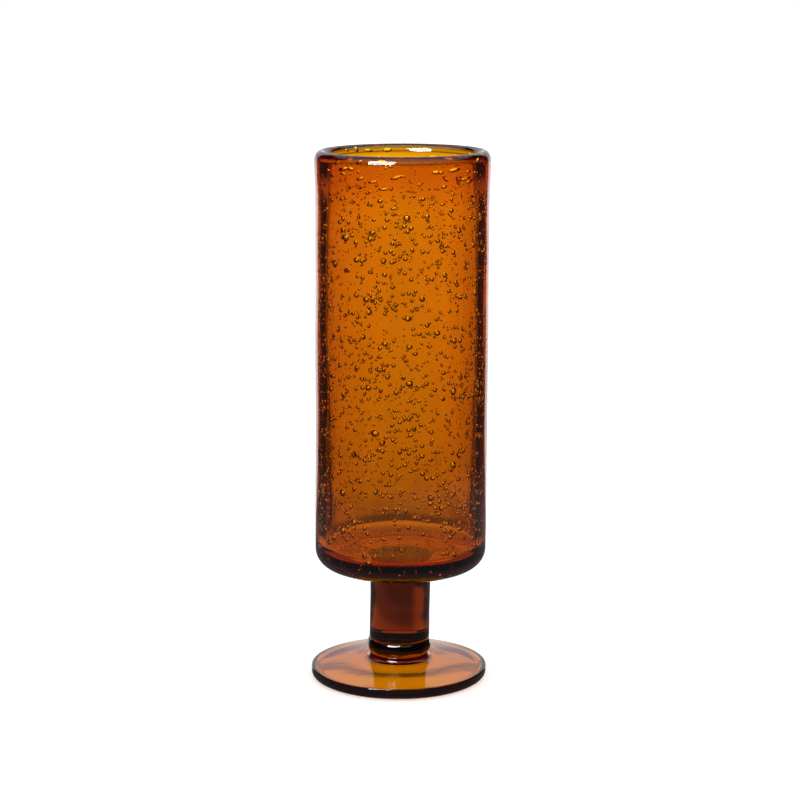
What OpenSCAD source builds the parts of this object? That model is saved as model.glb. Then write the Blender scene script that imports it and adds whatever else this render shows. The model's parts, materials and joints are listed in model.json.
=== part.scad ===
// Footed bud vase in amber bubble glass.
// A straight-sided bowl stands on a short solid stem, a pressed collar and a round foot.
// Each of the four was gathered hot on its own and fused to the next, face to face.
// The origin is the centre of the foot's underside. +Z is up.

/* [Bowl] */
// Outer diameter of the bowl's straight side
bowl_d = 71; // [60:0.5:100]
// Height of the bowl, from its underside to the top of the lip
bowl_h = 173; // [90:1:240]
// Thickness of the bowl's side wall
wall_t = 4.5; // [3:0.1:6]
// Thickness of the glass between the bowl's floor and its underside
base_t = 7; // [4:0.5:14]
// Radius of the round corner between the bowl's side and its underside
heel_r = 8.5; // [5:0.5:12]
// Radius of the round corner between the bowl's floor and its inner wall
floor_r = 5; // [2:0.5:8]
// How far the lip stands out past the bowl's side
lip_out = 0.4; // [0:0.1:1.5]
// Height over which the bowl's side spreads to the lip
flare_h = 14; // [4:1:30]

/* [Stem] */
// Diameter of the solid stem
stem_d = 25; // [18:0.5:30]
// Height of the stem, from the collar to the bowl
stem_h = 30.8; // [15:0.2:80]
// Radius of the fillet that spreads the stem's top on to the bowl
stem_fillet_r = 1.2; // [0.5:0.1:3]

/* [Collar] */
// How far the collar's belly stands out past the stem
collar_out = 0.8; // [0.4:0.1:2.5]
// Height of the collar, between the foot's hub and the stem
collar_h = 6; // [4:0.2:10]
// How far the collar's belly stands out past the collar's own two faces
collar_bulge = 1; // [0.4:0.1:2]

/* [Foot] */
// Diameter of the foot
foot_d = 73.2; // [60:0.2:110]
// Thickness of the foot's edge
edge_t = 4.8; // [4.7:0.1:8]
// Rise of the foot's sloping top, from its edge to where its hub stands
slope_h = 3.3; // [1:0.1:8]
// Height of the hub above the sloping top
hub_h = 2.1; // [1:0.1:6]
// How far the hub's side is set in from the stem's side
hub_in = 0.3; // [0:0.1:1.5]
// Radius of the fillet between the hub and the sloping top
hub_fillet_r = 2.1; // [1:0.1:4]
// Radius of the foot's lower rounded edge
edge_low_r = 2.4; // [0.5:0.1:3.6]
// Radius of the foot's upper rounded edge
edge_top_r = 0.6; // [0.3:0.1:1]
// Width of the flat ring that the foot stands on
ring_w = 1; // [0.8:0.1:12]
// Depth of the shallow hollow inside the ring
hollow_h = 3.4; // [0.5:0.1:4]

/* [Hidden] */
$fn = 96;

// Heights of the faces where one piece is fused to the next
foot_h = edge_t + slope_h + hub_h;
collar_top = foot_h + collar_h;
stem_top = collar_top + stem_h;
vase_h = stem_top + bowl_h;

bowl_r = bowl_d / 2;
inner_r = bowl_r - wall_t;
lip_r = bowl_r + lip_out;
lip_t = lip_r - inner_r;
floor_z = stem_top + base_t;
lip_z = vase_h - lip_t / 2;

stem_r = stem_d / 2;
collar_r = stem_r + collar_out;
// Radius of the one arc that makes the collar's belly
belly_r = (pow(collar_h / 2, 2) + pow(collar_bulge, 2)) / (2 * collar_bulge);

foot_r = foot_d / 2;
hub_r = stem_r - hub_in;
slope_r = foot_r - edge_top_r;
slope_angle = atan(slope_h / (slope_r - hub_r));
// The hub's fillet touches the hub's side and the sloping top, and is no higher than the hub
hub_fillet = min(hub_fillet_r, hub_h);
fillet_r = hub_r + hub_fillet;
fillet_z = slope_z(fillet_r) + hub_fillet / cos(slope_angle);
ring_r = foot_r - edge_low_r - ring_w;
// Radius of the ball that presses the hollow
hollow_r = (pow(ring_r, 2) + pow(hollow_h, 2)) / (2 * hollow_h);

amber = [0.78, 0.36, 0.02];
deep_amber = [0.42, 0.14, 0.05];
pale_amber = [0.80, 0.50, 0.24];
// Cuts run this far past the shape that they cut
past = 1;

// Height of the foot's sloping top at radius r
function slope_z(r) = edge_t + slope_h * (slope_r - r) / (slope_r - hub_r);

// A half outline with one round lower corner, from the axis out to r and from z0 up to z1
module round_heel(r, z0, z1, corner_r) {
    translate([0, z0 + corner_r]) square([r, z1 - z0 - corner_r]);
    translate([0, z0]) square([r - corner_r, corner_r + past]);
    translate([r - corner_r, z0 + corner_r]) circle(corner_r);
}

// Outside of the bowl up to the middle of its lip
module bowl_outside() {
    round_heel(bowl_r, stem_top, lip_z, heel_r);
    polygon([[inner_r, lip_z - flare_h], [bowl_r, lip_z - flare_h], [lip_r, lip_z], [inner_r, lip_z]]);
}

// Blown bowl: one wall with a thick base and a fire-polished round lip
module bowl() {
    color(amber)
    rotate_extrude() {
        difference() {
            bowl_outside();
            round_heel(inner_r, floor_z, vase_h + past, floor_r);
        }
        translate([inner_r + lip_t / 2, lip_z]) circle(lip_t / 2);
    }
}

// Solid stem, spread a little where it was stuck to the bowl
module stem() {
    color(deep_amber) {
        translate([0, 0, collar_top]) cylinder(r = stem_r, h = stem_h);
        rotate_extrude()
        translate([stem_r, stem_top - stem_fillet_r])
        difference() {
            square(stem_fillet_r);
            translate([stem_fillet_r, 0]) circle(stem_fillet_r);
        }
    }
}

// Pressed collar between the stem and the foot, with a belly all round
module collar() {
    color(deep_amber)
    rotate_extrude()
    translate([0, foot_h]) {
        square([collar_r - collar_bulge, collar_h]);
        intersection() {
            translate([collar_r - belly_r, collar_h / 2]) circle(belly_r);
            square([collar_r, collar_h]);
        }
    }
}

// Half outline of the foot: a plate with two rounded edges, a sloping top and a hub
module foot_outline() {
    square([foot_r - edge_low_r, edge_t]);
    translate([0, edge_low_r]) square([foot_r, edge_t - edge_low_r - edge_top_r]);
    translate([0, edge_low_r]) square([slope_r, edge_t - edge_low_r]);
    translate([foot_r - edge_low_r, edge_low_r]) circle(edge_low_r);
    translate([slope_r, edge_t - edge_top_r]) circle(edge_top_r);
    polygon([[0, edge_t], [slope_r, edge_t], [hub_r, edge_t + slope_h], [0, edge_t + slope_h]]);
    square([hub_r, foot_h]);
    difference() {
        translate([hub_r, edge_t]) square([hub_fillet * (1 - sin(slope_angle)), fillet_z - edge_t]);
        translate([fillet_r, fillet_z]) circle(hub_fillet);
    }
}

// Pressed foot, hollow underneath so that it stands on a ring
module foot() {
    color(pale_amber)
    difference() {
        rotate_extrude() foot_outline();
        translate([0, 0, hollow_h - hollow_r]) sphere(hollow_r);
    }
}

bowl();
stem();
collar();
foot();
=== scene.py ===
import json
import math
import bpy
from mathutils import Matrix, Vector


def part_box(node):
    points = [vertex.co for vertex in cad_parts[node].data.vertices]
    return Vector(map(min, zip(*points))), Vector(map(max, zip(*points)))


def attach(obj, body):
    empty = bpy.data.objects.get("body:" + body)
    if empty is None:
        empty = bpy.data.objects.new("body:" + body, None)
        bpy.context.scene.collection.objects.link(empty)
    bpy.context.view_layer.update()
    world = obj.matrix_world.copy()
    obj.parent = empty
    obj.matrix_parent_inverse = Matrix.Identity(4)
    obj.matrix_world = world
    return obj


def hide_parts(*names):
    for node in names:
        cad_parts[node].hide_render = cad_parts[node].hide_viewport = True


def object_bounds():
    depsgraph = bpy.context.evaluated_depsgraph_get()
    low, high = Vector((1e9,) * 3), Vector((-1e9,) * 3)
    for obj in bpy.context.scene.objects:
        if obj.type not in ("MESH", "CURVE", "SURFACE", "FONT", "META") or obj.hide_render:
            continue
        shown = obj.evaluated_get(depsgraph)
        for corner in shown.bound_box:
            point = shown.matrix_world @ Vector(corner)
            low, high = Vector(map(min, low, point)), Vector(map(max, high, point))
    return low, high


# A footed bud vase of four pieces melted together, in metres, z up.
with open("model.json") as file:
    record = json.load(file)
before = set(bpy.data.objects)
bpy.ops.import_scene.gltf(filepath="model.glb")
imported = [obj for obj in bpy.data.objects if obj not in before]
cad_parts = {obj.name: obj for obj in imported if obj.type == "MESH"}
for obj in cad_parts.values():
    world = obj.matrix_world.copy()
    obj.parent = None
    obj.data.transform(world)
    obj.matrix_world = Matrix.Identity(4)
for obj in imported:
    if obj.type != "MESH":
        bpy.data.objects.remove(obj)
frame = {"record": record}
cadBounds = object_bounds()
mm = 0.001
print("frame loaded")


def addNode(tree, kind, settings=None, inputs=None):
    node = tree.nodes.new(kind)
    for name, value in (settings or {}).items():
        setattr(node, name, value)
    for key, value in (inputs or {}).items():
        if isinstance(value, bpy.types.NodeSocket):
            tree.links.new(value, node.inputs[key])
        else:
            node.inputs[key].default_value = value
    return node


def doMath(tree, operation, *values):
    return addNode(tree, "ShaderNodeMath", {"operation": operation}, dict(enumerate(values))).outputs[0]


def newTree(name, kind, inputs, outputs):
    tree = bpy.data.node_groups.new(name, kind)
    for label, socketType, default in inputs:
        socket = tree.interface.new_socket(label, in_out="INPUT", socket_type=socketType)
        if default is not None:
            socket.default_value = default
    for label, socketType in outputs:
        tree.interface.new_socket(label, in_out="OUTPUT", socket_type=socketType)
    return tree, tree.nodes.new("NodeGroupInput"), tree.nodes.new("NodeGroupOutput")


def addTree(piece, tree, values):
    modifier = piece.modifiers.new(tree.name, "NODES")
    modifier.node_group = tree
    for item in tree.interface.items_tree:
        if item.in_out == "INPUT" and item.name in values:
            modifier[item.identifier] = values[item.name]
    return modifier


# how each glass looks: the tints are of its surface, the body colour is what 1 / bodyDensity m takes out
bubbleGlassLook = {
    "Clear Tint": (1.0, 1.0, 0.98, 1), "Cord Tint": (0.95, 0.90, 0.80, 1),
    "Spread": 55.0, "Stretch": 0.35, "Fine Spread": 320.0, "Fine Share": 0.03,
    "waveStrength": 0.5, "waveDepth": 0.16 * mm, "roughness": 0.0, "ior": 1.52,
    "bodyColour": (0.9443, 0.816, 0.0, 1), "bodyDensity": 1200.0,
}
stemGlassLook = dict(
    bubbleGlassLook,
    **{"Stretch": 0.2, "Spread": 70.0, "waveDepth": 0.4 * mm, "bodyColour": (0.942, 0.862, 0.0, 1)},
)
collarGlassLook = dict(
    stemGlassLook,
    **{"Stretch": 1.0, "Spread": 170.0, "waveDepth": 0.5 * mm},
)
footGlassLook = dict(
    bubbleGlassLook,
    **{"Stretch": 1.0, "Spread": 60.0, "bodyColour": (0.944, 0.80, 0.0, 1), "bodyDensity": 1300.0},
)


def buildCordGroup():
    # faint streaks and waves that hot glass keeps from gathering and turning
    tree, given, made = newTree(
        "glassCords", "ShaderNodeTree",
        [("Clear Tint", "NodeSocketColor", (1, 1, 1, 1)),
         ("Cord Tint", "NodeSocketColor", (0.9, 0.8, 0.6, 1)),
         ("Spread", "NodeSocketFloat", 55.0),
         ("Stretch", "NodeSocketFloat", 0.35),
         ("Fine Spread", "NodeSocketFloat", 320.0),
         ("Fine Share", "NodeSocketFloat", 0.03)],
        [("Tint", "NodeSocketColor"), ("Waves", "NodeSocketFloat")],
    )
    place = addNode(tree, "ShaderNodeTexCoord").outputs["Object"]
    squash = addNode(
        tree, "ShaderNodeCombineXYZ", None, {0: 1.0, 1: 1.0, 2: given.outputs["Stretch"]}
    ).outputs[0]
    drawn = addNode(
        tree, "ShaderNodeVectorMath", {"operation": "MULTIPLY"}, {0: place, 1: squash}
    ).outputs[0]
    broad = addNode(
        tree, "ShaderNodeTexNoise", None,
        {"Vector": drawn, "Scale": given.outputs["Spread"], "Detail": 2.0, "Roughness": 0.45,
         "Distortion": 0.6},
    ).outputs[0]
    fine = addNode(
        tree, "ShaderNodeTexNoise", None,
        {"Vector": drawn, "Scale": given.outputs["Fine Spread"], "Detail": 1.0, "Roughness": 0.4},
    ).outputs[0]
    share = addNode(
        tree, "ShaderNodeMapRange", {"interpolation_type": "SMOOTHSTEP"},
        {"Value": broad, "From Min": 0.45, "From Max": 0.75},
    ).outputs[0]
    tint = addNode(
        tree, "ShaderNodeMix", {"data_type": "RGBA"},
        {0: share, 6: given.outputs["Clear Tint"], 7: given.outputs["Cord Tint"]},
    ).outputs[2]
    ripples = doMath(tree, "MULTIPLY", fine, given.outputs["Fine Share"])
    tree.links.new(tint, made.inputs["Tint"])
    tree.links.new(doMath(tree, "ADD", broad, ripples), made.inputs["Waves"])
    return tree


def buildGlass(name, look, cordGroup):
    material = bpy.data.materials.new(name)
    material.use_nodes = True
    tree = material.node_tree
    tree.nodes.clear()
    out = tree.nodes.new("ShaderNodeOutputMaterial")
    streaks = tree.nodes.new("ShaderNodeGroup")
    streaks.node_tree = cordGroup
    for label in ("Clear Tint", "Cord Tint", "Spread", "Stretch", "Fine Spread", "Fine Share"):
        streaks.inputs[label].default_value = look[label]
    bump = addNode(
        tree, "ShaderNodeBump", None,
        {"Strength": look["waveStrength"], "Distance": look["waveDepth"],
         "Height": streaks.outputs["Waves"]},
    )
    glass = addNode(
        tree, "ShaderNodeBsdfPrincipled", None,
        {"Base Color": streaks.outputs["Tint"], "Metallic": 0.0, "Roughness": look["roughness"],
         "IOR": look["ior"], "Transmission Weight": 1.0, "Normal": bump.outputs[0]},
    )
    inside = addNode(
        tree, "ShaderNodeVolumeAbsorption", None,
        {"Color": look["bodyColour"], "Density": look["bodyDensity"]},
    )
    tree.links.new(glass.outputs[0], out.inputs["Surface"])
    tree.links.new(inside.outputs[0], out.inputs["Volume"])
    return material


def buildGlassPair(name, look, cordGroup):
    # where one piece is melted on to the next there is no surface left that bends light
    fusedLook = dict(look, ior=1.0, waveStrength=0.0)
    return buildGlass(name, look, cordGroup), buildGlass(name + "Fused", fusedLook, cordGroup)


cordGroup = buildCordGroup()
bubbleGlass = buildGlassPair("bubbleGlass", bubbleGlassLook, cordGroup)
stemGlass = buildGlassPair("stemGlass", stemGlassLook, cordGroup)
collarGlass = buildGlassPair("collarGlass", collarGlassLook, cordGroup)
footGlass = buildGlassPair("footGlass", footGlassLook, cordGroup)
print("glass materials made")


def pickFused(tree, geometry, glass, fusedGlass):
    # the faces marked as melted to a neighbour get the fused glass, the others the plain one
    mark = addNode(
        tree, "GeometryNodeInputNamedAttribute", {"data_type": "FLOAT"}, {"Name": "fusedFace"}
    ).outputs[0]
    chosen = addNode(
        tree, "FunctionNodeCompare", {"operation": "GREATER_THAN"}, {0: mark, 1: 0.5}
    ).outputs[0]
    painted = addNode(
        tree, "GeometryNodeSetMaterial", None, {"Geometry": geometry, "Material": glass}
    ).outputs[0]
    return addNode(
        tree, "GeometryNodeSetMaterial", None,
        {"Geometry": painted, "Selection": chosen, "Material": fusedGlass},
    ).outputs[0]


def buildTurnedTree():
    # an outline carried round the upright axis
    tree, given, made = newTree(
        "turnedGlass", "GeometryNodeTree",
        [("Outline", "NodeSocketGeometry", None), ("Segments", "NodeSocketInt", 144),
         ("Glass", "NodeSocketMaterial", None), ("Fused Glass", "NodeSocketMaterial", None)],
        [("Geometry", "NodeSocketGeometry")],
    )
    outline = given.outputs["Outline"]
    count = addNode(
        tree, "GeometryNodeAttributeDomainSize", {"component": "MESH"}, {0: outline}
    ).outputs["Point Count"]
    across = doMath(tree, "ADD", given.outputs["Segments"], 1.0)
    grid = addNode(
        tree, "GeometryNodeMeshGrid", None,
        {"Size X": 1.0, "Size Y": 1.0, "Vertices X": across, "Vertices Y": count},
    ).outputs[0]
    index = addNode(tree, "GeometryNodeInputIndex").outputs[0]
    ring = doMath(tree, "FLOORED_MODULO", index, count)
    step = doMath(tree, "FLOOR", doMath(tree, "DIVIDE", doMath(tree, "ADD", index, 0.5), count))
    corner = addNode(tree, "GeometryNodeInputPosition").outputs[0]
    place = addNode(
        tree, "GeometryNodeSampleIndex", {"data_type": "FLOAT_VECTOR"},
        {"Geometry": outline, "Value": corner, "Index": ring},
    ).outputs[0]
    apart = addNode(tree, "ShaderNodeSeparateXYZ", None, {0: place})
    turn = doMath(tree, "DIVIDE", doMath(tree, "MULTIPLY", step, 2 * math.pi), given.outputs["Segments"])
    onCircle = addNode(
        tree, "ShaderNodeCombineXYZ", None,
        {0: doMath(tree, "MULTIPLY", apart.outputs[0], doMath(tree, "COSINE", turn)),
         1: doMath(tree, "MULTIPLY", apart.outputs[0], doMath(tree, "SINE", turn)),
         2: apart.outputs[2]},
    ).outputs[0]
    turned = addNode(
        tree, "GeometryNodeSetPosition", None, {"Geometry": grid, "Position": onCircle}
    ).outputs[0]
    faceRing = doMath(tree, "FLOORED_MODULO", index, doMath(tree, "SUBTRACT", count, 1.0))
    fused = addNode(
        tree, "GeometryNodeInputNamedAttribute", {"data_type": "FLOAT"}, {"Name": "fused"}
    ).outputs[0]
    isFused = addNode(
        tree, "GeometryNodeSampleIndex", {"data_type": "FLOAT"},
        {"Geometry": outline, "Index": faceRing, "Value": fused},
    ).outputs[0]
    marked = addNode(
        tree, "GeometryNodeStoreNamedAttribute", {"data_type": "FLOAT", "domain": "FACE"},
        {"Geometry": turned, "Name": "fusedFace", "Value": isFused},
    ).outputs[0]
    closed = addNode(
        tree, "GeometryNodeMergeByDistance", None, {"Geometry": marked, "Distance": 0.002 * mm}
    ).outputs[0]
    rounded = addNode(tree, "GeometryNodeSetShadeSmooth", None, {"Geometry": closed}).outputs[0]
    real = addNode(tree, "GeometryNodeRealizeInstances", None, {0: rounded}).outputs[0]
    painted = pickFused(tree, real, given.outputs["Glass"], given.outputs["Fused Glass"])
    tree.links.new(painted, made.inputs["Geometry"])
    return tree


# how clouds of bubbles thin out, and how far one bubble may differ from the next
bubbleForm = {"cloudThin": 0.35, "cloudThick": 0.6, "lean": (-0.4, 1.4), "height": (0.9, 1.12)}


def buildBubbleTree():
    # closed voids of air inside the glass, so their faces point into the bubble
    tree, given, made = newTree(
        "airBubbles", "GeometryNodeTree",
        [("Geometry", "NodeSocketGeometry", None), ("Count", "NodeSocketInt", 100),
         ("Seed", "NodeSocketInt", 1), ("Lowest", "NodeSocketFloat", 0.06),
         ("Highest", "NodeSocketFloat", 0.2), ("Sinking", "NodeSocketFloat", 1.0),
         ("Inner Radius", "NodeSocketFloat", 0.031), ("Outer Radius", "NodeSocketFloat", 0.035),
         ("Smallest", "NodeSocketFloat", 0.0003), ("Largest", "NodeSocketFloat", 0.001),
         ("Rarity", "NodeSocketFloat", 3.0), ("Stretch", "NodeSocketFloat", 1.0),
         ("Tilt", "NodeSocketFloat", 0.0), ("Clumping", "NodeSocketFloat", 0.5),
         ("Clump Size", "NodeSocketFloat", 60.0), ("Segments", "NodeSocketInt", 8),
         ("Rings", "NodeSocketInt", 6), ("Glass", "NodeSocketMaterial", None)],
        [("Geometry", "NodeSocketGeometry")],
    )

    def chance(offset, low=0.0, high=1.0):
        seed = doMath(tree, "ADD", given.outputs["Seed"], offset)
        draw = addNode(
            tree, "FunctionNodeRandomValue", {"data_type": "FLOAT"}, {2: low, 3: high, "Seed": seed}
        )
        return draw.outputs[1]

    def between(low, high, share):
        rise = doMath(tree, "MULTIPLY", doMath(tree, "SUBTRACT", high, low), share)
        return doMath(tree, "ADD", low, rise)

    size = between(given.outputs["Smallest"], given.outputs["Largest"],
                   doMath(tree, "POWER", chance(1), given.outputs["Rarity"]))
    turn = chance(2, 0.0, 2 * math.pi)
    height = between(given.outputs["Lowest"], given.outputs["Highest"],
                     doMath(tree, "POWER", chance(3), given.outputs["Sinking"]))
    reach = between(doMath(tree, "ADD", given.outputs["Inner Radius"], size),
                    doMath(tree, "SUBTRACT", given.outputs["Outer Radius"], size), chance(4))
    place = addNode(
        tree, "ShaderNodeCombineXYZ", None,
        {0: doMath(tree, "MULTIPLY", reach, doMath(tree, "COSINE", turn)),
         1: doMath(tree, "MULTIPLY", reach, doMath(tree, "SINE", turn)), 2: height},
    ).outputs[0]
    points = addNode(
        tree, "GeometryNodePoints", None,
        {"Count": given.outputs["Count"], "Position": place, "Radius": size},
    ).outputs[0]
    position = addNode(tree, "GeometryNodeInputPosition").outputs[0]
    # bubbles come in clouds, so many of those in the thin patches are dropped
    cloud = addNode(
        tree, "ShaderNodeTexNoise", None,
        {"Vector": position, "Scale": given.outputs["Clump Size"], "Detail": 1.0},
    ).outputs[0]
    cloud = addNode(
        tree, "ShaderNodeMapRange", None,
        {"Value": cloud, "From Min": bubbleForm["cloudThin"], "From Max": bubbleForm["cloudThick"]},
    ).outputs[0]
    dropped = doMath(tree, "MULTIPLY", given.outputs["Clumping"], doMath(tree, "SUBTRACT", 1.0, cloud))
    wanted = doMath(tree, "SUBTRACT", 1.0, dropped)
    thin = addNode(
        tree, "FunctionNodeCompare", {"operation": "GREATER_THAN"}, {0: chance(5), 1: wanted}
    ).outputs[0]
    kept = addNode(
        tree, "GeometryNodeDeleteGeometry", {"domain": "POINT"}, {"Geometry": points, "Selection": thin}
    ).outputs[0]
    ball = addNode(
        tree, "GeometryNodeMeshUVSphere", None,
        {"Segments": given.outputs["Segments"], "Rings": given.outputs["Rings"], "Radius": 1.0},
    ).outputs[0]
    ball = addNode(tree, "GeometryNodeFlipFaces", None, {0: ball}).outputs[0]
    ball = addNode(tree, "GeometryNodeSetShadeSmooth", None, {"Geometry": ball}).outputs[0]
    apart = addNode(tree, "ShaderNodeSeparateXYZ", None, {0: position})
    bearing = doMath(tree, "ARCTAN2", apart.outputs[1], apart.outputs[0])
    facing = doMath(tree, "ADD", bearing, math.pi / 2)
    lean = doMath(tree, "MULTIPLY", given.outputs["Tilt"], chance(6, *bubbleForm["lean"]))
    lean = doMath(tree, "MULTIPLY", lean, -1.0)
    turned = addNode(tree, "ShaderNodeCombineXYZ", None, {0: 0.0, 1: lean, 2: facing}).outputs[0]
    radius = addNode(tree, "GeometryNodeInputRadius").outputs[0]
    along = doMath(tree, "MULTIPLY", radius, between(1.0, given.outputs["Stretch"], chance(7)))
    upright = doMath(tree, "MULTIPLY", radius, chance(8, *bubbleForm["height"]))
    shape = addNode(tree, "ShaderNodeCombineXYZ", None, {0: along, 1: radius, 2: upright}).outputs[0]
    spread = addNode(
        tree, "GeometryNodeInstanceOnPoints", None,
        {"Points": kept, "Instance": ball, "Rotation": turned, "Scale": shape},
    ).outputs[0]
    joined = tree.nodes.new("GeometryNodeJoinGeometry")
    tree.links.new(spread, joined.inputs[0])
    tree.links.new(given.outputs["Geometry"], joined.inputs[0])
    real = addNode(tree, "GeometryNodeRealizeInstances", None, {0: joined.outputs[0]}).outputs[0]
    mark = addNode(
        tree, "GeometryNodeInputNamedAttribute", {"data_type": "FLOAT"}, {"Name": "fusedFace"}
    ).outputs[0]
    plain = addNode(tree, "FunctionNodeCompare", {"operation": "LESS_THAN"}, {0: mark, 1: 0.5}).outputs[0]
    painted = addNode(
        tree, "GeometryNodeSetMaterial", None,
        {"Geometry": real, "Selection": plain, "Material": given.outputs["Glass"]},
    ).outputs[0]
    tree.links.new(painted, made.inputs["Geometry"])
    return tree


def buildHandTree():
    # the small lean and waviness that shaping by hand leaves; the two ends stay level
    tree, given, made = newTree(
        "handShaped", "GeometryNodeTree",
        [("Geometry", "NodeSocketGeometry", None),
         ("Waviness", "NodeSocketFloat", 0.0002), ("Wave Scale", "NodeSocketFloat", 40.0),
         ("Rise", "NodeSocketFloat", 0.0), ("Tilt", "NodeSocketFloat", 0.0),
         ("Bottom", "NodeSocketFloat", 0.0), ("Top", "NodeSocketFloat", 0.2),
         ("Lean At Bottom", "NodeSocketFloat", 0.0), ("Lean At Top", "NodeSocketFloat", 0.0),
         ("Glass", "NodeSocketMaterial", None), ("Fused Glass", "NodeSocketMaterial", None)],
        [("Geometry", "NodeSocketGeometry")],
    )
    position = addNode(tree, "GeometryNodeInputPosition").outputs[0]
    waves = addNode(
        tree, "ShaderNodeTexNoise", None,
        {"Vector": position, "Scale": given.outputs["Wave Scale"], "Detail": 1.0},
    ).outputs[1]
    apart = addNode(tree, "ShaderNodeSeparateXYZ", None, {0: waves})
    at = addNode(tree, "ShaderNodeSeparateXYZ", None, {0: position})
    share = addNode(
        tree, "ShaderNodeMapRange", None,
        {"Value": at.outputs[2], "From Min": given.outputs["Bottom"], "From Max": given.outputs["Top"]},
    ).outputs[0]
    lean = doMath(tree, "SUBTRACT", given.outputs["Lean At Top"], given.outputs["Lean At Bottom"])
    lean = doMath(tree, "MULTIPLY_ADD", lean, share, given.outputs["Lean At Bottom"])

    def wave(n, amount):
        return doMath(tree, "MULTIPLY", doMath(tree, "SUBTRACT", apart.outputs[n], 0.5), amount)

    # 1 halfway up the piece and 0 at both ends
    middle = doMath(tree, "MULTIPLY", share, doMath(tree, "SUBTRACT", 1.0, share))
    middle = doMath(tree, "MULTIPLY", middle, 4.0)
    rise = wave(2, given.outputs["Rise"])
    lift = doMath(tree, "MULTIPLY_ADD", at.outputs[0], given.outputs["Tilt"], rise)
    offset = addNode(
        tree, "ShaderNodeCombineXYZ", None,
        {0: doMath(tree, "ADD", wave(0, given.outputs["Waviness"]), lean),
         1: wave(1, given.outputs["Waviness"]), 2: doMath(tree, "MULTIPLY", lift, middle)},
    ).outputs[0]
    shaped = addNode(
        tree, "GeometryNodeSetPosition", None, {"Geometry": given.outputs["Geometry"], "Offset": offset}
    ).outputs[0]
    real = addNode(tree, "GeometryNodeRealizeInstances", None, {0: shaped}).outputs[0]
    painted = pickFused(tree, real, given.outputs["Glass"], given.outputs["Fused Glass"])
    tree.links.new(painted, made.inputs["Geometry"])
    return tree


turnedTree = buildTurnedTree()
bubbleTree = buildBubbleTree()
handTree = buildHandTree()
print("geometry trees made")

# An outline is a list of (radius, height, fused) in metres, from the axis round and back to the axis.
# fused is 1 where the face from this point to the next one is melted to a neighbour.
seam = 0.005 * mm      # each melted face stands back by this, so two faces never lie in one plane
joint = {"segments": 144, "diskStep": 3.0 * mm}


def arc(radius, height, size, start, end, steps):
    corners = []
    for i in range(steps + 1):
        turn = math.radians(start + (end - start) * i / steps)
        corners.append((radius + size * math.cos(turn), height + size * math.sin(turn), 0))
    return corners


def straight(start, end, step, fused=0):
    count = max(1, round(math.dist(start, end) / step))
    return [
        (start[0] + (end[0] - start[0]) * i / count, start[1] + (end[1] - start[1]) * i / count, fused)
        for i in range(count)
    ]


def disk(radius, height, upward):
    # a melted face across the axis, at the bottom or at the top of a piece
    if upward:
        return straight((radius, height), (0.0, height), joint["diskStep"], 1) + [(0.0, height, 0)]
    return straight((0.0, height), (radius, height), joint["diskStep"], 1)


def smooth(share):
    share = min(1.0, max(0.0, share))
    return share * share * (3 - 2 * share)


def outlineObject(name, points):
    mesh = bpy.data.meshes.new(name)
    mesh.from_pydata([(r, 0.0, z) for r, z, _ in points], [(i, i + 1) for i in range(len(points) - 1)], [])
    fused = mesh.attributes.new("fused", "FLOAT", "POINT")
    for i, point in enumerate(points):
        fused.data[i].value = point[2]
    piece = bpy.data.objects.new(name, mesh)
    bpy.context.collection.objects.link(piece)
    return piece


def keepUsedMaterials(mesh):
    # the trees leave empty material slots behind
    kept = list(dict.fromkeys(m for m in mesh.materials if m))
    places = [kept.index(m) if m else 0 for m in mesh.materials]
    used = [places[face.material_index] for face in mesh.polygons]
    mesh.materials.clear()
    for material in kept:
        mesh.materials.append(material)
    mesh.polygons.foreach_set("material_index", used)


def finishPiece(name, outline, glassPair, shape, populations=None):
    glass = {"Glass": glassPair[0], "Fused Glass": glassPair[1]}
    start = outlineObject(name + "Outline", outline)
    addTree(start, turnedTree, dict(glass, Segments=joint["segments"]))
    for population in (populations or {}).values():
        addTree(start, bubbleTree, dict(population, Glass=glassPair[0]))
    low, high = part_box(name)
    byHand = {"Waviness": shape["waviness"], "Wave Scale": shape["waveScale"],
              "Rise": shape.get("rise", 0.0), "Tilt": shape.get("tilt", 0.0),
              "Bottom": low.z, "Top": high.z,
              "Lean At Bottom": shape["leanBottom"], "Lean At Top": shape["leanTop"]}
    addTree(start, handTree, dict(glass, **byHand))
    graph = bpy.context.evaluated_depsgraph_get()
    mesh = bpy.data.meshes.new_from_object(
        start.evaluated_get(graph), preserve_all_data_layers=True, depsgraph=graph)
    bpy.data.objects.remove(start)
    mesh.name = name + "Glass"
    keepUsedMaterials(mesh)
    piece = bpy.data.objects.new(name + "Glass", mesh)
    bpy.context.collection.objects.link(piece)
    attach(piece, "root")
    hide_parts(name)
    mesh.calc_loop_triangles()
    print(name, "made,", len(mesh.loop_triangles), "triangles")


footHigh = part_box("foot")[1]
collarLow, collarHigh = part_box("collar")
stemLow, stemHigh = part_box("stem")
bowlLow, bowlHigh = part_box("bowl")
mouthRadius = frame["record"]["mounts"][0]["dims"]["r_mm"] * mm

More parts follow.
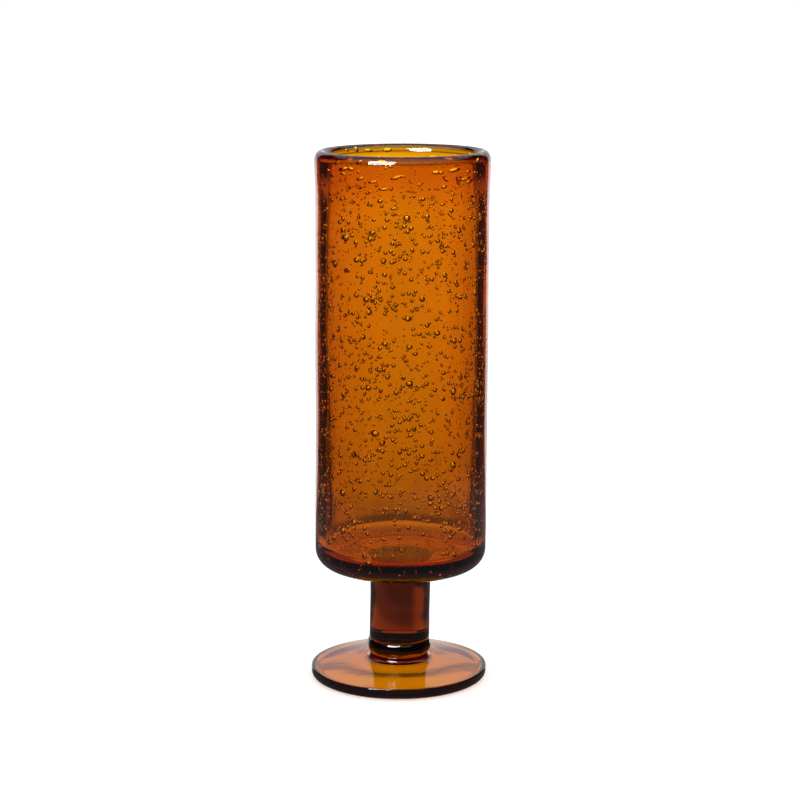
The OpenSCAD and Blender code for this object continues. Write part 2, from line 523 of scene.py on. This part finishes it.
bowl = {
    "heel": 8.5 * mm, "corner": 5 * mm, "base": 7 * mm, "side": 35.5 * mm,
    "flare": 14 * mm, "lipSwell": 0.9 * mm, "swellHeight": 24 * mm, "lipHeight": 4.4 * mm,
    "wallStep": 4 * mm, "baseStep": 2 * mm, "heelSteps": 14, "flareSteps": 8, "lipSteps": 18,
    "swellSteps": 12, "cornerSteps": 10,
    "ripple": 0.05 * mm, "rippleSpacing": 3.4 * mm, "rippleFade": 4 * mm, "rippleSteps": 28,
    "waviness": 0.5 * mm, "waveScale": 38.0, "leanBottom": 0.2 * mm, "leanTop": 1.15 * mm,
}
bubbles = {
    "fine": {"Count": 1800, "Seed": 5, "Lowest": 0.0585, "Highest": 0.214, "Sinking": 1.1,
             "Inner Radius": 0.0314, "Outer Radius": 0.0351, "Smallest": 0.25 * mm, "Largest": 0.5 * mm,
             "Rarity": 1.1, "Stretch": 1.3, "Tilt": 0.3, "Clumping": 0.5, "Clump Size": 45.0,
             "Segments": 5, "Rings": 4},
    "middling": {"Count": 1800, "Seed": 11, "Lowest": 0.0585, "Highest": 0.205, "Sinking": 1.05,
                 "Inner Radius": 0.0313, "Outer Radius": 0.0352, "Smallest": 0.5 * mm,
                 "Largest": 1.05 * mm, "Rarity": 1.2, "Stretch": 1.2, "Tilt": 0.25,
                 "Clumping": 0.5, "Clump Size": 42.0, "Segments": 6, "Rings": 5},
    "large": {"Count": 230, "Seed": 23, "Lowest": 0.056, "Highest": 0.203, "Sinking": 1.0,
              "Inner Radius": 0.0313, "Outer Radius": 0.0352, "Smallest": 0.85 * mm,
              "Largest": 1.5 * mm, "Rarity": 1.8, "Stretch": 1.2, "Tilt": 0.2,
              "Clumping": 0.35, "Clump Size": 40.0, "Segments": 9, "Rings": 6},
    "streaks": {"Count": 135, "Seed": 38, "Lowest": 0.196, "Highest": 0.2178, "Sinking": 0.7,
                "Inner Radius": 0.0309, "Outer Radius": 0.0354, "Smallest": 0.45 * mm,
                "Largest": 0.8 * mm, "Rarity": 1.1, "Stretch": 3.6, "Tilt": 0.25,
                "Clumping": 0.2, "Clump Size": 60.0, "Segments": 8, "Rings": 7},
    "base": {"Count": 60, "Seed": 51, "Lowest": 0.0508, "Highest": 0.0532, "Sinking": 1.0,
             "Inner Radius": 0.012, "Outer Radius": 0.029, "Smallest": 0.3 * mm,
             "Largest": 0.9 * mm, "Rarity": 2.0, "Stretch": 1.2, "Tilt": 0.2,
             "Clumping": 0.2, "Clump Size": 40.0, "Segments": 8, "Rings": 5},
}


def bowlOutline():
    low, high, side = bowlLow.z, bowlHigh.z, bowl["side"]
    lipOut = bowlHigh.x
    lipIn = mouthRadius - bowl["lipSwell"]
    lipZ = high - bowl["lipHeight"]
    half = (lipOut - lipIn) / 2
    heel, corner, step = bowl["heel"], bowl["corner"], bowl["wallStep"]
    floor = low + bowl["base"]
    points = disk(stemHigh.x, low + seam, False)
    points += straight((stemHigh.x, low), (side - heel, low), bowl["baseStep"])
    points += arc(side - heel, low + heel, heel, -90, 0, bowl["heelSteps"])
    wallTop = lipZ - bowl["flare"]
    points += straight((side, low + heel + step), (side, wallTop), step)
    for i in range(bowl["flareSteps"]):
        share = i / bowl["flareSteps"]
        points.append((side + (lipOut - side) * smooth(share), wallTop + (lipZ - wallTop) * share, 0))
    for i in range(bowl["lipSteps"] + 1):
        turn = math.pi * i / bowl["lipSteps"]
        points.append((lipOut - half + half * math.cos(turn), lipZ + bowl["lipHeight"] * math.sin(turn), 0))
    swellLow = lipZ - bowl["swellHeight"]
    for i in range(1, bowl["swellSteps"] + 1):
        share = i / bowl["swellSteps"]
        points.append((lipIn + (mouthRadius - lipIn) * smooth(share), lipZ + (swellLow - lipZ) * share, 0))
    cornerZ = floor + corner
    points += straight((mouthRadius, swellLow - step), (mouthRadius, cornerZ), step)
    reach = mouthRadius - corner
    points += arc(reach, cornerZ, corner, 0, -90, bowl["cornerSteps"])[:-1]
    count = bowl["rippleSteps"]
    for i in range(count + 1):
        radius = reach * (1 - i / count)
        ripple = bowl["ripple"] * math.cos(2 * math.pi * radius / bowl["rippleSpacing"])
        points.append((radius, floor + ripple * smooth((reach - radius) / bowl["rippleFade"]), 0))
    return points


finishPiece("bowl", bowlOutline(), bubbleGlass, bowl, bubbles)

stem = {
    "topFillet": 1.2 * mm,     # where the stem spreads on to the bowl
    "filletEnd": 99,           # the fillet stops short of level, so its edge isn't knife thin
    "filletSteps": 8, "nick": 0.2 * mm, "nickStep": 0.3 * mm, "wallStep": 1.2 * mm,
    "waviness": 0.55 * mm, "waveScale": 60.0, "leanBottom": -0.3 * mm, "leanTop": 0.2 * mm,
}


def stemOutline():
    low, high, fillet = stemLow.z, stemHigh.z, stem["topFillet"]
    side, nick = stemHigh.x - fillet, stem["nick"]
    points = disk(side - nick, low + seam, False)
    points += straight((side - nick, low), (side, low + nick / 2), stem["nickStep"])
    points += straight((side, low + nick / 2), (side, high - fillet), stem["wallStep"])
    points += arc(side + fillet, high - fillet, fillet, 180, stem["filletEnd"], stem["filletSteps"])
    points += disk(stemHigh.x, high - seam, True)
    return points


finishPiece("stem", stemOutline(), stemGlass, stem)

collar = {
    "bulge": 1.0 * mm, "bellySteps": 14,
    "waviness": 1.2 * mm, "waveScale": 95.0, "rise": 2.4 * mm, "tilt": -0.04,
    "leanBottom": -0.45 * mm, "leanTop": -0.3 * mm,
}


def collarOutline():
    low, high, bulge = collarLow.z, collarHigh.z, collar["bulge"]
    face = collarHigh.x - bulge
    middle, half = (low + high) / 2, (high - low) / 2
    belly = (half * half + bulge * bulge) / (2 * bulge)
    reach = math.degrees(math.asin(half / belly))
    points = disk(face, low + seam, False)
    points += arc(collarHigh.x - belly, middle, belly, -reach, reach, collar["bellySteps"])
    points += disk(face, high - seam, True)
    return points


finishPiece("collar", collarOutline(), collarGlass, collar)

foot = {
    "edge": 4.8 * mm, "hub": 12.2 * mm, "hubBase": 8.1 * mm, "fillet": 2.1 * mm,
    "lowRound": 2.4 * mm, "topRound": 0.6 * mm, "hollow": 33.2 * mm, "hollowDepth": 3.4 * mm,
    "hollowSteps": 26, "ringStep": 2 * mm, "lowSteps": 9, "topSteps": 8, "slopeStep": 1.2 * mm,
    "filletSteps": 10,
    "waviness": 0.25 * mm, "waveScale": 38.0, "leanBottom": -0.6 * mm, "leanTop": -0.45 * mm,
}


def footOutline():
    rim, high = footHigh.x, footHigh.z
    lowRound, topRound, fillet = foot["lowRound"], foot["topRound"], foot["fillet"]
    points = []
    for i in range(foot["hollowSteps"]):
        radius = foot["hollow"] * i / foot["hollowSteps"]
        points.append((radius, foot["hollowDepth"] * (1 - (radius / foot["hollow"]) ** 2), 0))
    points += straight((foot["hollow"], 0.0), (rim - lowRound, 0.0), foot["ringStep"])
    points += arc(rim - lowRound, lowRound, lowRound, -90, 0, foot["lowSteps"])
    run = rim - topRound - foot["hub"]
    slope = math.atan2(foot["hubBase"] - foot["edge"], run)
    lean = math.degrees(slope)
    points += arc(rim - topRound, foot["edge"] - topRound, topRound, 0, 90 - lean, foot["topSteps"])
    filletR = foot["hub"] + fillet
    topZ = foot["edge"] + (foot["hubBase"] - foot["edge"]) * (run - fillet) / run
    filletZ = topZ + fillet / math.cos(slope)
    into = arc(filletR, filletZ, fillet, lean - 90, -180, foot["filletSteps"])
    points += straight(points[-1][:2], into[0][:2], foot["slopeStep"])[1:]
    points += into
    points += disk(foot["hub"], high - seam, True)
    return points


finishPiece("foot", footOutline(), footGlass, foot)
print("pieces made")

# Heights are in degrees above the horizon, turns in degrees from the back, anticlockwise from above.
studio = {
    "floorSize": 6.0,      # from the middle to each side
    "paper": (0.9, 0.9, 0.9, 1),
    "paperGlow": 0.28,
    "backdrop": 1.0,       # what the camera sees past the floor
    "roomOnFloor": 1.14,   # even light that falls on the floor
    # light seen through the glass at each height
    "light": [(-90, 1.0), (-56, 1.0), (-50, 0.35), (-28, 0.5), (-25, 0.9), (-19.6, 0.9), (-17.7, 0.86),
              (-16.9, 0.45), (-16.2, 0.33), (-15, 0.08), (-14.4, 0.26), (-13.6, 0.68), (-12.5, 0.88),
              (-9, 1.18), (-5, 1.37), (0, 1.38), (8, 1.2), (20, 1.4), (35, 2.4), (60, 3.0), (90, 3.0)],
    # half the width of each backdrop at that height
    "half": [(-90, 90), (-19, 75), (-17, 50), (-15.3, 44), (-14.7, 18), (-13.5, 17), (-10, 26), (0, 26),
             (90, 26)],
    "turns": (0, 90, 225),     # where the backdrops stand
    "strongest": 4.0,      # top of the scale of both lists of light
    "dark": 0.05,          # unlit room between the backdrops
    # light mirrored by the glass at each height, and half the width of the backdrop that it shows
    "mirrorLight": [(-90, 0.8), (-16, 0.8), (-14, 1.0), (-9, 1.35), (-5, 1.35), (0, 1.1), (8, 0.7),
                    (30, 0.9), (40, 0.85), (90, 0.6)],
    "mirrorHalf": [(-90, 20), (-16, 10), (-14.5, 12), (-12.5, 31), (0, 33), (90, 33)],
    "mirrorDark": [(-90, 0.2), (-16, 0.13), (-14.2, 0.17), (-12.5, 0.04), (0, 0.03), (90, 0.03)],
    "mirrorSide": 0.03,    # share of the backdrops at the sides, and half their width
    "sideHalf": 28.0,
    "mirrorWide": (38, 91, 5.0),
    "soft": 3.0,           # width of the soft edge of a backdrop
    "wide": [(-91, -20.5, 1.0), (4, 91, 3.0)],     # heights lit all the way round: low, high, soft edge
    # extra patches of light: low, high, soft edge, turn, half width, soft edge, amount
    "patches": [(-18.3, -15.0, 0.4, 33, 12.0, 7.0, 0.6), (-35, -21, 1.0, 45, 30.0, 3.0, 0.45)],
}
softbox = {"turn": 31.0, "rise": 39.0, "away": 1.2, "size": (0.66, 0.62), "power": 24.0}
camera = {"place": (0.0, -0.920, 0.297), "down": 0.1929, "lens": 102.45}


def buildFloor():
    mesh = bpy.data.meshes.new("paperFloor")
    half = studio["floorSize"]
    mesh.from_pydata(
        [(-half, -half, 0), (half, -half, 0), (half, half, 0), (-half, half, 0)], [], [(0, 1, 2, 3)])
    floor = bpy.data.objects.new("paperFloor", mesh)
    bpy.context.collection.objects.link(floor)
    material = bpy.data.materials.new("whitePaper")
    material.use_nodes = True
    tree = material.node_tree
    tree.nodes.clear()
    out = tree.nodes.new("ShaderNodeOutputMaterial")
    paper = addNode(
        tree, "ShaderNodeBsdfPrincipled", None,
        {"Base Color": studio["paper"], "Roughness": 0.9, "Specular IOR Level": 0.0,
         "Emission Color": (1, 1, 1, 1), "Emission Strength": studio["paperGlow"]},
    )
    tree.links.new(paper.outputs[0], out.inputs["Surface"])
    mesh.materials.append(material)
    floor.visible_transmission = False
    floor.visible_glossy = False


def buildWorld():
    world = bpy.data.worlds.new("studioRoom")
    bpy.context.scene.world = world
    world.use_nodes = True
    tree = world.node_tree
    tree.nodes.clear()
    out = tree.nodes.new("ShaderNodeOutputWorld")
    direction = addNode(tree, "ShaderNodeTexCoord").outputs["Generated"]
    x, y, z = addNode(tree, "ShaderNodeSeparateXYZ", None, {0: direction}).outputs
    level = doMath(tree, "MULTIPLY", doMath(tree, "ARCSINE", z), 180 / math.pi)
    flat = doMath(tree, "ADD", doMath(tree, "MULTIPLY", x, x), doMath(tree, "MULTIPLY", y, y))
    # never nothing, because panel divides by it
    flat = doMath(tree, "MAXIMUM", doMath(tree, "SQRT", flat), 1e-4)
    overall = doMath(tree, "DIVIDE", doMath(tree, "ADD", level, 90.0), 180.0)

    def ramp(stops, top):
        # a value against height, from stops of (degrees, value)
        node = tree.nodes.new("ShaderNodeFloatCurve")
        curve = node.mapping.curves[0]
        for i, (degrees, value) in enumerate(stops):
            spot = ((degrees + 90) / 180, value / top)
            if i < 2:
                curve.points[i].location = spot
            else:
                curve.points.new(*spot)
        for point in curve.points:
            point.handle_type = "VECTOR"
        node.mapping.update()
        tree.links.new(overall, node.inputs["Value"])
        return doMath(tree, "MULTIPLY", node.outputs[0], top)

    def smoothStep(value, low, high, atLow=0.0, atHigh=1.0):
        return addNode(
            tree, "ShaderNodeMapRange", {"interpolation_type": "SMOOTHSTEP"},
            {"Value": value, "From Min": low, "From Max": high, "To Min": atLow, "To Max": atHigh},
        ).outputs[0]

    def panel(turn, half, soft=studio["soft"]):
        turn = math.radians(turn)
        sideways = doMath(tree, "MULTIPLY", x, -math.sin(turn))
        ahead = doMath(tree, "ADD", sideways, doMath(tree, "MULTIPLY", y, math.cos(turn)))
        # kept inside the arc cosine's range
        near = doMath(tree, "MINIMUM", doMath(tree, "DIVIDE", ahead, flat), 0.99999)
        away = doMath(tree, "MULTIPLY", doMath(tree, "ARCCOSINE", near), 180 / math.pi)
        spare = doMath(tree, "SUBTRACT", doMath(tree, "ADD", half, soft), away)
        return smoothStep(doMath(tree, "DIVIDE", spare, 2 * soft), 0.0, 1.0)

    def band(low, high, soft):
        rise = smoothStep(level, low - soft, low + soft)
        fall = smoothStep(level, high - soft, high + soft, 1.0, 0.0)
        return doMath(tree, "MULTIPLY", rise, fall)

    def brightest(*shares):
        found = shares[0]
        for share in shares[1:]:
            found = doMath(tree, "MAXIMUM", found, share)
        return found

    half = ramp(studio["half"], 180.0)
    lit = [band(*heights) for heights in studio["wide"]]
    share = brightest(*[panel(turn, half) for turn in studio["turns"]], *lit)
    seen = ramp(studio["light"], studio["strongest"])
    through = doMath(tree, "MULTIPLY_ADD", share, seen, studio["dark"])
    for low, high, edge, turn, wide, soft, amount in studio["patches"]:
        patch = doMath(tree, "MULTIPLY", band(low, high, edge), panel(turn, wide, soft))
        through = doMath(tree, "MULTIPLY_ADD", patch, amount, through)
    halfMirrored = ramp(studio["mirrorHalf"], 180.0)
    back, *others = studio["turns"]
    sides = brightest(*[panel(turn, studio["sideHalf"]) for turn in others])
    sides = doMath(tree, "MULTIPLY", sides, studio["mirrorSide"])
    mirrored = brightest(panel(back, halfMirrored), sides, band(*studio["mirrorWide"]))
    mirrored = doMath(tree, "MULTIPLY", mirrored, ramp(studio["mirrorLight"], studio["strongest"]))
    mirrored = doMath(tree, "MAXIMUM", mirrored, ramp(studio["mirrorDark"], 1.0))
    path = tree.nodes.new("ShaderNodeLightPath")
    # what the glass shows, what falls on the floor and what the camera sees are lit apart
    light = mirrored
    for ray, value in (("Is Transmission Ray", through), ("Is Diffuse Ray", studio["roomOnFloor"]),
                       ("Is Camera Ray", studio["backdrop"])):
        light = addNode(
            tree, "ShaderNodeMix", {"data_type": "FLOAT"}, {0: path.outputs[ray], 2: light, 3: value}
        ).outputs[0]
    shine = addNode(tree, "ShaderNodeBackground", None, {"Color": (1, 1, 1, 1), "Strength": light})
    tree.links.new(shine.outputs[0], out.inputs["Surface"])


def buildSoftbox(middle):
    turn, rise = math.radians(softbox["turn"]), math.radians(softbox["rise"])
    flatReach = math.cos(rise)
    towards = Vector((-math.sin(turn) * flatReach, -math.cos(turn) * flatReach, math.sin(rise)))
    panel = bpy.data.lights.new("softbox", "AREA")
    panel.shape = "RECTANGLE"
    panel.size, panel.size_y = softbox["size"]
    panel.energy = softbox["power"]
    lamp = bpy.data.objects.new("softbox", panel)
    bpy.context.collection.objects.link(lamp)
    lamp.location = middle + softbox["away"] * towards
    lamp.rotation_euler = (-towards).to_track_quat("-Z", "Y").to_euler()
    lamp.visible_transmission = False
    lamp.visible_diffuse = False


def buildCamera():
    lens = bpy.data.cameras.new("camera")
    lens.lens = camera["lens"]
    lens.sensor_width = 36
    lens.clip_end = 50
    body = bpy.data.objects.new("camera", lens)
    bpy.context.collection.objects.link(body)
    body.location = camera["place"]
    body.rotation_euler = (math.pi / 2 - camera["down"], 0, 0)
    bpy.context.scene.camera = body


buildFloor()
buildWorld()
buildSoftbox((cadBounds[0] + cadBounds[1]) / 2)
buildCamera()
scene = bpy.context.scene
scene.view_settings.view_transform = "Standard"
scene.cycles.max_bounces = 32
scene.cycles.transmission_bounces = 32
scene.cycles.glossy_bounces = 16
print("studio ready")
